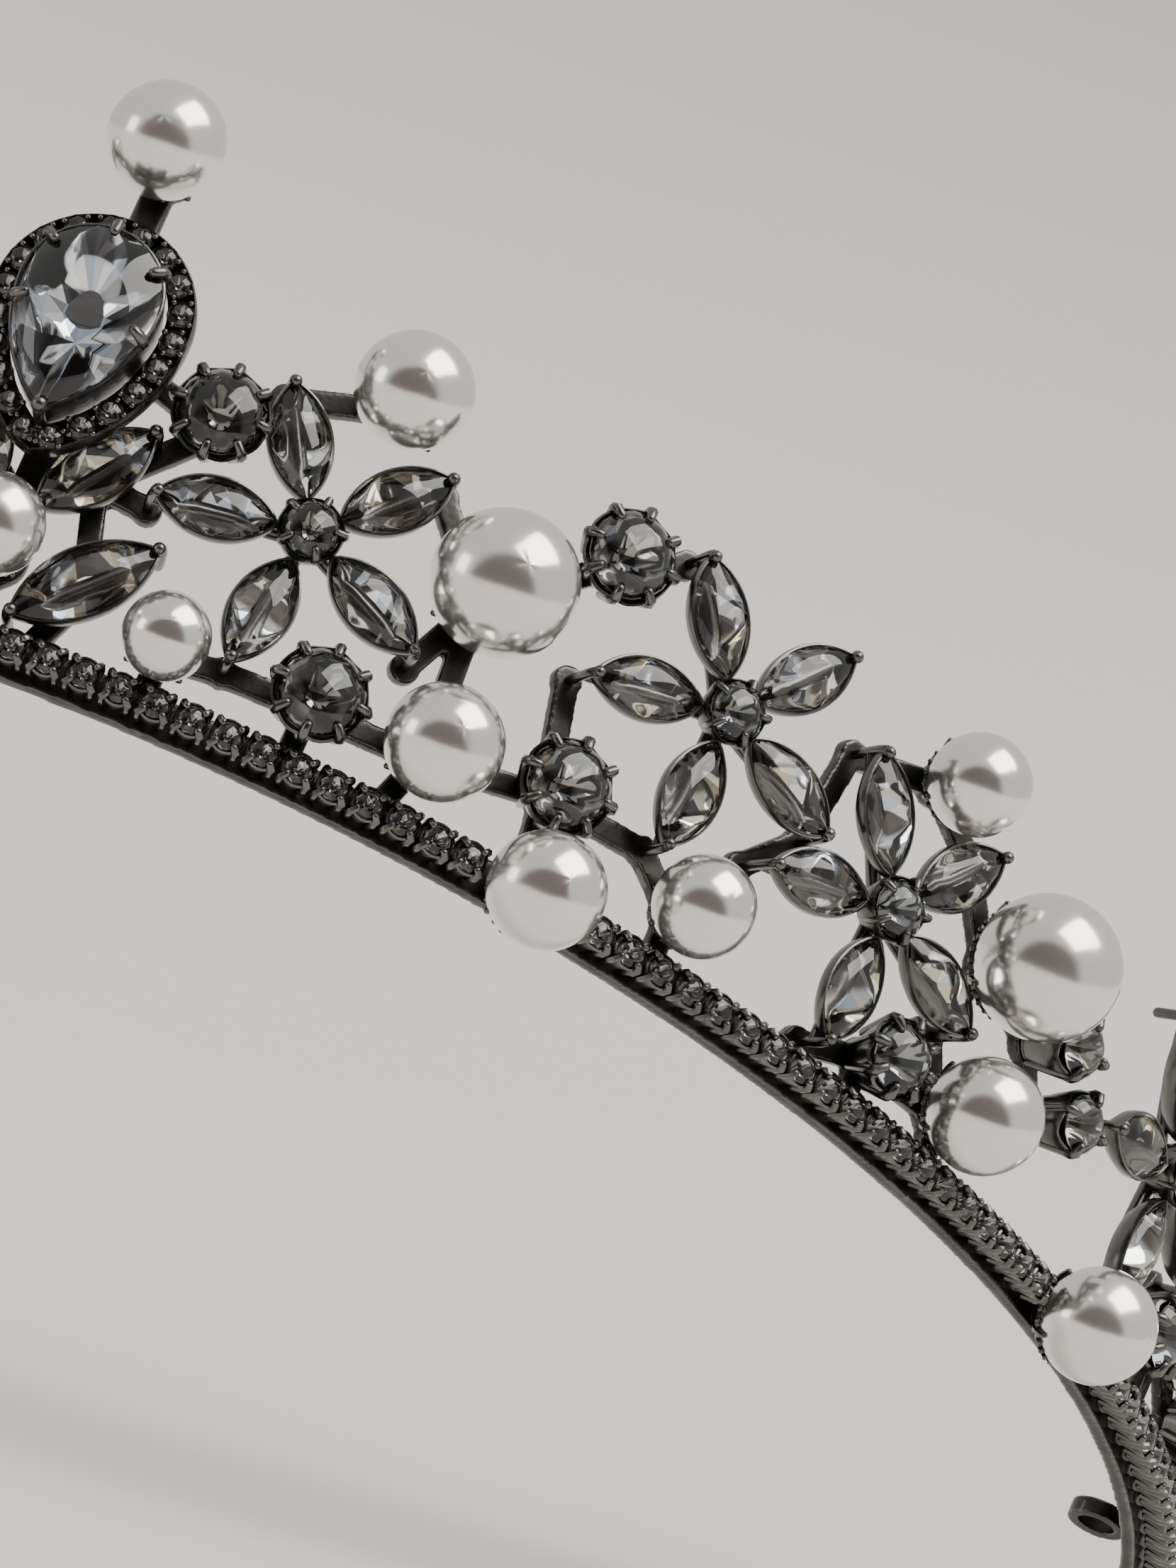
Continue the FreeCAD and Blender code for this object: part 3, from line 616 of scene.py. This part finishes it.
def foil(name, dark, painted_warm_glint, painted_blue_glint, bright):
    """The mirrored backs of the stones: each facet's lean picks one of four colours, a dark or a bright grey,
    or a painted warm or blue glint that stands in for the stones' coloured fire.
    """
    material, nodes, links, shader = new_material(name)
    shader.inputs["Metallic"].default_value = 1.0
    shader.inputs["Roughness"].default_value = 0.05
    facing = nodes.new("ShaderNodeNewGeometry")
    cell = nodes.new("ShaderNodeTexNoise")
    cell.inputs["Scale"].default_value = 5.3
    cell.inputs["Detail"].default_value = 1.0
    links.new(facing.outputs["True Normal"], cell.inputs["Vector"])
    tint = nodes.new("ShaderNodeValToRGB")
    stops = tint.color_ramp.elements
    stops[0].position = 0.36
    stops[0].color = dark
    stops[1].position = 0.55
    stops[1].color = bright
    # painted glints: the warm and blue stops tint some facets to stand in for coloured fire
    stops.new(0.43).color = painted_warm_glint
    stops.new(0.48).color = painted_blue_glint
    links.new(cell.outputs["Fac"], tint.inputs["Fac"])
    links.new(tint.outputs["Color"], shader.inputs["Base Color"])
    return material


def nacre():
    """Pearl nacre: creamy white with a strong satin sheen and a thin clear surface."""
    material, nodes, links, shader = new_material("nacre")
    shader.inputs["Metallic"].default_value = 0.92
    shader.inputs["Coat Weight"].default_value = 0.6
    shader.inputs["Coat Roughness"].default_value = 0.05
    shader.inputs["Coat IOR"].default_value = 1.6
    where = nodes.new("ShaderNodeTexCoord")
    cloud = nodes.new("ShaderNodeTexNoise")
    cloud.inputs["Scale"].default_value = 160.0
    cloud.inputs["Detail"].default_value = 4.0
    links.new(where.outputs["Object"], cloud.inputs["Vector"])
    tint = nodes.new("ShaderNodeMix")
    tint.data_type = "RGBA"
    tint.inputs["A"].default_value = (0.74, 0.71, 0.685, 1)
    tint.inputs["B"].default_value = (0.82, 0.80, 0.78, 1)
    links.new(cloud.outputs["Fac"], tint.inputs["Factor"])
    links.new(tint.outputs["Result"], shader.inputs["Base Color"])
    rough = nodes.new("ShaderNodeMapRange")
    rough.inputs["To Min"].default_value = 0.14
    rough.inputs["To Max"].default_value = 0.24
    links.new(cloud.outputs["Fac"], rough.inputs["Value"])
    links.new(rough.outputs["Result"], shader.inputs["Roughness"])
    grain = nodes.new("ShaderNodeTexNoise")
    grain.inputs["Scale"].default_value = 1400.0
    grain.inputs["Detail"].default_value = 2.0
    links.new(where.outputs["Object"], grain.inputs["Vector"])
    bump = nodes.new("ShaderNodeBump")
    bump.inputs["Strength"].default_value = 0.08
    bump.inputs["Distance"].default_value = 0.00005
    links.new(grain.outputs["Fac"], bump.inputs["Height"])
    links.new(bump.outputs["Normal"], shader.inputs["Normal"])
    return material


METAL = antique_metal()
NACRE = nacre()
# Each foil's warm and blue colours are painted glints that stand in for the stones' coloured fire.
CLEAR_GEM = [crystal("clear_crystal", (0.97, 0.96, 0.93, 1), (0.88, 0.92, 0.97, 1)),
             foil("clear_foil", (0.05, 0.05, 0.05, 1), (0.66, 0.60, 0.48, 1), (0.42, 0.47, 0.56, 1),
                  (1.0, 0.99, 0.96, 1))]
PEAR_GEM = [crystal("pear_crystal", (0.90, 0.91, 0.92, 1), (0.80, 0.85, 0.92, 1)),
            foil("pear_foil", (0.05, 0.05, 0.055, 1), (0.36, 0.35, 0.33, 1), (0.38, 0.43, 0.52, 1),
                 (0.95, 0.94, 0.92, 1))]
SMOKY_GEM = [crystal("smoky_crystal", (0.50, 0.49, 0.47, 1), (0.40, 0.42, 0.44, 1)),
             foil("smoky_foil", (0.08, 0.08, 0.08, 1), (0.42, 0.39, 0.33, 1), (0.34, 0.38, 0.44, 1),
                  (0.62, 0.61, 0.59, 1))]

# The band, the fretwork and the loops -----------------------------------------------------------------

BAND_CAST = {"voxel": 0.18, "rounds": 6}
BAR_CAST = {"voxel": 0.16, "rounds": 7}
LOOP_CAST = {"voxel": 0.09, "rounds": 4}

cast_copy("band", ["base_band", "end_eyelet_right", "end_eyelet_left"], **BAND_CAST)
for side in ("centre", "right", "left"):
    cast_copy("fretwork." + side, ["fretwork_" + side], **BAR_CAST)
for side in SIDES:
    cast_copy("pin_loop." + side, ["pin_loop_" + side], **LOOP_CAST)

# The band's row of small stones -----------------------------------------------------------------------


def band_cup(radius, girdle):
    """A little cup with a foot, a rounded rim and four claws on its corners."""
    wall = 0.2
    profile = [(radius * 0.5, 0.0), (radius * 0.78, 0.0), (radius * 0.85, 0.35), (radius * 0.8, 0.6),
               (radius + wall * 0.7, girdle - 0.3), (radius + wall, girdle - 0.02),
               (radius + wall * 0.4, girdle + 0.1), (radius * 0.98, girdle), (radius * 0.7, girdle * 0.55)]
    parts = [ring(profile, sides=20)]
    bend = [(radius * 1.05, girdle * 0.3), (radius * 1.22, girdle * 0.75), (radius * 1.2, girdle + 0.12),
            (radius * 0.9, girdle + 0.34)]
    for angle in even_angles(4, math.pi / 4):
        path = [polar(reach, angle, height) for reach, height in bend]
        parts.append(tube(path, [0.24, 0.28, 0.3, 0.27], sides=7))
    return joined(parts)


for side in SIDES:
    stones = [read_round(points) for points in solids("band_stones_" + side)]
    gem = round_gem(stones[0])
    turned = [stone.place @ Matrix.Rotation(random.uniform(0, math.pi / 4), 4, "Z") for stone in stones]
    make_piece("band_stones." + side, [gem] * len(stones), turned, SMOKY_GEM, ["band_stones_" + side])
    cup = band_cup(stones[0].half_wide, stones[0].girdle)
    make_piece("band_cups." + side, [cup] * len(stones), [stone.place for stone in stones], [METAL],
               ["band_cups_" + side])

# Flowers ----------------------------------------------------------------------------------------------

for side in SIDES:
    centres = [read_round(points) for points in solids("flower_centres_" + side)]
    for number in range(1, len(centres) + 1):
        petals_node = "petal_stones_%s_%d" % (side, number)
        petal_solids = solids(petals_node)
        middle = np.concatenate(petal_solids).mean(0)
        centre = min(centres, key=lambda stone: (Vector(middle @ np.array(HOOP.to_3x3()).T)
                                                 - stone.place.translation).length)
        petals = [read_marquise(points, centre.place) for points in petal_solids]
        forms, places = [], []
        gem = marquise_gem(petals[0], 16, CROWN, 0.78)
        make_piece("petals.%s.%d" % (side, number), [gem] * len(petals), [p.place for p in petals], CLEAR_GEM,
                   [petals_node])
        girdle = petals[0].girdle
        half_long = petals[0].half_long
        cup = marquise_cup(petals[0].half_wide, half_long, girdle, girdle - 1.55)
        tip = point_claw(half_long, girdle, -0.6, 0.36)
        for petal in petals:
            forms += [cup, tip]
            places += [petal.place, petal.place]
        reach = (petals[0].place.translation - centre.place.translation).length / MM
        heart = round_cup(centre.half_wide, centre.girdle, 5, 0.3, foot=girdle - 1.9,
                          first=petals[0].turn + math.pi / 2 + math.pi / 5, waist=0.6)
        forms.append(heart)
        places.append(centre.place)
        spokes = []
        bend = [(0.0, girdle - 1.75), (reach * 0.5, girdle - 1.85), (reach, girdle - 1.9),
                (reach + half_long, girdle - 1.5)]
        for petal in petals:
            path = [polar(out, petal.turn + math.pi / 2, height) for out, height in bend]
            spokes.append(tube(path, [0.6, 0.5, 0.42, 0.36]))
        forms += spokes
        places += [centre.place] * len(spokes)
        make_piece("flower.%s.%d" % (side, number), forms, places, [METAL],
                   ["flower_setting_%s_%d" % (side, number)])
    make_piece("flower_hearts." + side, [round_gem(centres[0])] * len(centres),
               [stone.place for stone in centres], SMOKY_GEM, ["flower_centres_" + side])

# Leaves -----------------------------------------------------------------------------------------------

for side in SIDES:
    leaves = [read_marquise(points) for points in solids("leaf_stones_" + side)]
    gems, cups, places = [], [], []
    for leaf in leaves:
        gems.append(marquise_gem(leaf, 20, 0.4, 0.7))
        cup = [marquise_cup(leaf.half_wide, leaf.half_long, leaf.girdle, leaf.girdle - 1.6)]
        cup += [point_claw(leaf.half_long, leaf.girdle, -0.5, 0.38, sign) for sign in (1, -1)]
        cup.append(lathe([(0.9, -0.6), (0.9, 0.2), (0.7, leaf.girdle - 1.5)], sides=12))
        cups.append(joined(cup))
        places.append(leaf.place)
    make_piece("leaf_stones." + side + ".all", gems, places, CLEAR_GEM, ["leaf_stones_" + side])
    make_piece("leaf_cups." + side, cups, places, [METAL], ["leaf_settings_" + side])

# Round stones in claw cups: those below a radius of SMALL_STONE have four claws, the others eight -----

SMALL_STONE = 2.2

for side in SIDES:
    stones = [read_round(points) for points in solids("round_stones_" + side)]
    gems, cups = [], []
    for stone in stones:
        gems.append(round_gem(stone))
        small = stone.half_wide < SMALL_STONE
        cups.append(round_cup(stone.half_wide, stone.girdle, 4 if small else 8, 0.36 if small else 0.4,
                              waist=0.5, scallop=0.5 if small else 0.35))
    places = [stone.place for stone in stones]
    make_piece("round_stones." + side + ".all", gems, places, SMOKY_GEM, ["round_stones_" + side])
    make_piece("round_cups." + side, cups, places, [METAL], ["round_settings_" + side])

# The pear with its halo -------------------------------------------------------------------------------

PEAR_CLAWS = (35, 90, 145, 205, 335)


def read_pear():
    """Seat at the centre of the pear's round end, with its radius, the radius of its sides and its girdle."""
    points = solids("pear_stone")[0]
    place = seat_of(points)
    local = in_seat(points, place)
    radius = (local[:, 0].max() - local[:, 0].min()) / 2
    girdle = local[np.argmax(local[:, 1]), 2]
    centre = local[:, 1].max() - radius
    length = centre - local[:, 1].min()
    side = (length ** 2 + radius ** 2) / (2 * radius)
    return place @ Matrix.Translation((0, centre, 0)), radius, side, girdle, length


pear_place, pear_radius, pear_side, pear_girdle, pear_length = read_pear()
pear_gem = cut_stone(pear_outline(pear_radius, pear_side, 28), pear_radius * 0.34, pear_radius * 0.64,
                     keel=pear_radius * 0.3, centre=(0, -pear_radius * 0.35), facets=RICH_CUT)
make_piece("pear_stone.cut", [raised(pear_gem, pear_girdle)], [pear_place], PEAR_GEM, ["pear_stone"])

halo = [read_round(points, pear_place) for points in solids("halo_stones")]
halo_radius = halo[0].half_wide
halo_girdle = halo[0].girdle
make_piece("halo_stones.cut", [round_gem(halo[0], 0.75)] * len(halo), [stone.place for stone in halo],
           SMOKY_GEM, ["halo_stones"])

outline = pear_outline(pear_radius, pear_side, 96)
plate_top = halo_girdle + 0.02
plate_low = halo_girdle - 1.3
plate_floor = halo_girdle - 0.8
halo_wide = float(in_seat(hoop_points("pear_halo"), pear_place)[:, 0].max()) - pear_radius
plate = rail(outline, [(0.22, plate_low + 0.2), (0.5, plate_low), (halo_wide - 0.25, plate_low),
                       (halo_wide, plate_low + 0.2), (halo_wide, plate_top - 0.1),
                       (halo_wide - 0.12, plate_top + 0.12), (halo_wide - 0.2, plate_top + 0.05),
                       (halo_wide - 0.22, plate_floor),
                       (0.3, plate_floor), (0.25, plate_top)])
parts = [plate]
places = [pear_place]
collar = ring([(halo_radius + 0.09, halo_girdle - 0.9), (halo_radius + 0.09, halo_girdle - 0.05),
               (halo_radius + 0.05, halo_girdle + 0.06), (halo_radius - 0.01, halo_girdle),
               (halo_radius * 0.8, halo_girdle - 0.9)], sides=20)
for stone in halo:
    parts.append(collar)
    places.append(stone.place)
    outward = (pear_place.inverted() @ stone.place).translation
    angle = math.atan2(outward.y + (pear_length * 0.25 if outward.y < 0 else 0.0), outward.x)
    for turn in (angle - 2.2, angle - 0.95, angle + 0.95, angle + 2.2):
        parts.append(ball(polar(halo_radius + 0.06, turn, halo_girdle + 0.1), 0.23, rows=6, sides=8))
        places.append(stone.place)
make_piece("halo_plate", parts, places, [METAL], ["pear_halo"])

cup_outline = pear_outline(pear_radius, pear_side, 96)
setting = [wall_rail(cup_outline, pear_girdle, plate_floor - 0.3, 0.24, 0.3)]
setting.append(lathe([(1.9, 0.0), (2.0, 0.4), (1.7, 1.0), (1.9, pear_girdle - 2.6)], sides=24))
for degrees in PEAR_CLAWS:
    setting.append(claw(pear_radius, math.radians(degrees), pear_girdle - 2.6, pear_girdle, 0.42,
                        hook=0.45, over=0.75))
setting.append(moved_form(point_claw(pear_length, pear_girdle, pear_girdle - 2.4, 0.42, 1.0, bead=1.35),
                          Matrix.Rotation(math.pi, 4, "Z")))
make_piece("pear_cup", setting, [pear_place] * len(setting), [METAL], ["pear_setting"])

# Pearls and their cups --------------------------------------------------------------------------------


def pearl_form(radius, centre, seed):
    """A pearl drilled from behind, a hair off round, with faint noise lumps over its surface."""
    rows, sides = 40, 56
    drill = 0.5
    start = math.asin(drill / radius)
    profile = [(drill, centre - radius * 0.6)]
    for row in range(rows):
        tilt = -math.pi / 2 + start + (math.pi - start - 0.03) * row / (rows - 1)
        profile.append((radius * math.cos(tilt), centre + radius * math.sin(tilt)))

    def wave(angle, height):
        spot = Vector(polar(1.0, angle, (height - centre) / radius)) * 0.9 + Vector((seed, 0, 0))
        grow = radius * 0.008 * noise.noise(spot)
        return (grow, grow)

    return lathe(profile, sides=sides, wave=wave)


def pearl_cup_form(radius, centre, low):
    """A calyx under a pearl: a shallow bowl with a beaded rim, a peg and four slim leaves up its sides."""
    def at(tilt, extra):
        return ((radius + extra) * math.cos(tilt), centre + (radius + extra) * math.sin(tilt))

    inner = [at(math.radians(d), 0.02) for d in (-80, -68, -56, -47)]
    outer = [at(math.radians(d), 0.28) for d in (-47, -56, -68, -76)]
    foot = radius * 0.34
    profile = [(foot, low), (foot * 1.15, low + 0.12)] + list(reversed(outer)) + list(reversed(inner))
    parts = [ring(profile, sides=36)]
    parts.append(lathe([(0.45, low), (0.45, centre)], sides=10))
    parts.append(lathe([(foot * 1.02, low), (foot, low + 0.1), (0.3, low + 0.25)], sides=20))
    beads = int(2 * math.pi * at(math.radians(-46), 0.2)[0] / 0.75)
    rim, rim_height = at(math.radians(-45), 0.16)
    for angle in even_angles(beads):
        parts.append(ball(polar(rim, angle, rim_height), 0.2, rows=5, sides=7))
    bend = [at(math.radians(degrees), 0.14) for degrees in (-62, -52, -42, -33)]
    for angle in even_angles(4, math.pi / 4):
        path = [polar(reach, angle, height) for reach, height in bend]
        parts.append(tube(path, [0.34, 0.32, 0.27, 0.22], sides=7))
    return joined(parts)


def read_pearl(points):
    """A pearl's seat, its radius and its centre's height."""
    place = seat_of(points)
    local = in_seat(points, place)
    radius = (local[:, 1].max() - local[:, 1].min()) / 2
    centre = local[:, 2].max() - radius
    return place, radius, centre


pearl_nodes = {side: ["pearls_%s_mm_%s" % (size, side) for size in ("ten", "eight", "seven", "six")]
               for side in SIDES}
for side in SIDES:
    cups, cup_places = [], []
    for node in pearl_nodes[side]:
        forms, places = [], []
        for points in solids(node):
            place, radius, centre = read_pearl(points)
            spin = Matrix.Rotation(random.uniform(0, 2 * math.pi), 4, "Z")
            forms.append(pearl_form(radius, centre, len(forms) * 3.1 + radius))
            places.append(place @ spin)
            cups.append(pearl_cup_form(radius, centre, centre - radius - 0.4))
            cup_places.append(place)
        make_piece("%s.drilled" % node, forms, places, [NACRE], [node])
    make_piece("pearl_cups." + side, cups, cup_places, [METAL], ["pearl_cups_" + side])

cups, cup_places = [], []
for node in ("top_pearl", "low_pearl"):
    place, radius, centre = read_pearl(solids(node)[0])
    make_piece(node + ".drilled", [pearl_form(radius, centre, radius)], [place], [NACRE], [node])
    cups.append(pearl_cup_form(radius, centre, 0.0))
    cup_places.append(place)
make_piece("pearl_cups.centre", cups, cup_places, [METAL], ["centre_pearl_cups"])

# Stage: floor, light and camera -----------------------------------------------------------------------

VIEW_TURN = math.radians(9.9)
VIEW_RISE = math.radians(-20.8)
VIEW_ROLL = math.radians(23.5)
VIEW_FAR = 1.5
VIEW_SHIFT = (0.0400, 0.0242)
VIEW_LENS = 503.0
FLOOR_RADIUS = 9.0


def camera_axes():
    """The camera's right, up and backward directions in the row's axes."""
    back = Vector((math.sin(VIEW_TURN) * math.cos(VIEW_RISE), -math.cos(VIEW_TURN) * math.cos(VIEW_RISE),
                   math.sin(VIEW_RISE)))
    right = Vector((math.cos(VIEW_TURN), math.sin(VIEW_TURN), 0))
    up = back.cross(right)
    rolled_right = right * math.cos(VIEW_ROLL) + up * math.sin(VIEW_ROLL)
    rolled_up = up * math.cos(VIEW_ROLL) - right * math.sin(VIEW_ROLL)
    return [HOOP.to_3x3() @ axis for axis in (rolled_right, rolled_up, back)]


cam_right, cam_up, cam_back = camera_axes()


def make_camera():
    """A long lens at the photograph's angle, moved sideways so that the right half fills the frame."""
    lens = bpy.data.cameras.new("camera")
    lens.lens = VIEW_LENS
    lens.sensor_width = 36.0
    lens.clip_start = 0.05
    camera = bpy.data.objects.new("camera", lens)
    spot = cam_back * VIEW_FAR + cam_right * VIEW_SHIFT[0] + cam_up * VIEW_SHIFT[1]
    turned = Matrix((cam_right, cam_up, cam_back)).transposed().to_4x4()
    camera.matrix_world = Matrix.Translation(spot) @ turned
    bpy.context.scene.collection.objects.link(camera)
    bpy.context.scene.camera = camera


def make_floor():
    """A large pale floor half a millimetre below the lowest point."""
    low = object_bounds()[0][2] - 0.0005
    mesh = bpy.data.meshes.new("floor")
    work = bmesh.new()
    bmesh.ops.create_circle(work, cap_ends=True, segments=96, radius=FLOOR_RADIUS)
    bmesh.ops.translate(work, verts=work.verts, vec=(0, 0, low))
    work.to_mesh(mesh)
    work.free()
    floor = bpy.data.objects.new("floor", mesh)
    bpy.context.scene.collection.objects.link(floor)
    material, nodes, links, shader = new_material("pale_floor")
    where = nodes.new("ShaderNodeTexCoord")
    cloud = nodes.new("ShaderNodeTexNoise")
    cloud.inputs["Scale"].default_value = 5.0
    cloud.inputs["Detail"].default_value = 4.0
    links.new(where.outputs["Object"], cloud.inputs["Vector"])
    tint = nodes.new("ShaderNodeMix")
    tint.data_type = "RGBA"
    tint.inputs["A"].default_value = (0.70, 0.685, 0.66, 1)
    tint.inputs["B"].default_value = (0.74, 0.725, 0.705, 1)
    links.new(cloud.outputs["Fac"], tint.inputs["Factor"])
    links.new(tint.outputs["Result"], shader.inputs["Base Color"])
    shader.inputs["Roughness"].default_value = 0.75
    mesh.materials.append(material)


def make_world():
    """Soft pale surroundings, with a darker room in front of the tiara for its metal to reflect."""
    world = bpy.data.worlds.new("studio")
    bpy.context.scene.world = world
    world.use_nodes = True
    nodes = world.node_tree.nodes
    links = world.node_tree.links
    where = nodes.new("ShaderNodeTexCoord")
    facing = nodes.new("ShaderNodeVectorMath")
    facing.operation = "DOT_PRODUCT"
    facing.inputs[1].default_value = (cam_back - cam_right * 0.12 - cam_up * 0.2).normalized()
    links.new(where.outputs["Generated"], facing.inputs[0])
    dark = nodes.new("ShaderNodeMapRange")
    dark.interpolation_type = "SMOOTHSTEP"
    dark.inputs["From Min"].default_value = 0.48
    dark.inputs["From Max"].default_value = 0.70
    links.new(facing.outputs["Value"], dark.inputs["Value"])
    tint = nodes.new("ShaderNodeMix")
    tint.data_type = "RGBA"
    tint.inputs["A"].default_value = (0.80, 0.785, 0.76, 1)
    tint.inputs["B"].default_value = (0.13, 0.105, 0.10, 1)
    links.new(dark.outputs["Result"], tint.inputs["Factor"])
    links.new(tint.outputs["Result"], nodes["Background"].inputs["Color"])
    nodes["Background"].inputs["Strength"].default_value = 0.95


def area_light(name, direction, distance, size, power, colour):
    """A soft rectangular lamp that faces the tiara from a direction."""
    light = bpy.data.lights.new(name, "AREA")
    light.shape = "RECTANGLE"
    light.size, light.size_y = size
    light.energy = power
    light.color = colour
    lamp = bpy.data.objects.new(name, light)
    target = Vector((0, -0.03, 0.01))
    aim = Vector(direction).normalized()
    lamp.location = target + aim * distance
    lamp.rotation_euler = aim.to_track_quat("Z", "Y").to_euler()
    bpy.context.scene.collection.objects.link(lamp)


make_camera()
make_floor()
make_world()
key_side = cam_right * 0.66 + cam_up * 0.66 + cam_back * 0.22
fill_side = cam_right * -0.9 + cam_up * 0.25 + cam_back * 0.3
area_light("key", key_side, 3.0, (2.8, 2.0), 105.0, (1.0, 0.98, 0.95))
area_light("fill", fill_side, 1.5, (0.5, 1.2), 5.0, (0.97, 0.98, 1.0))
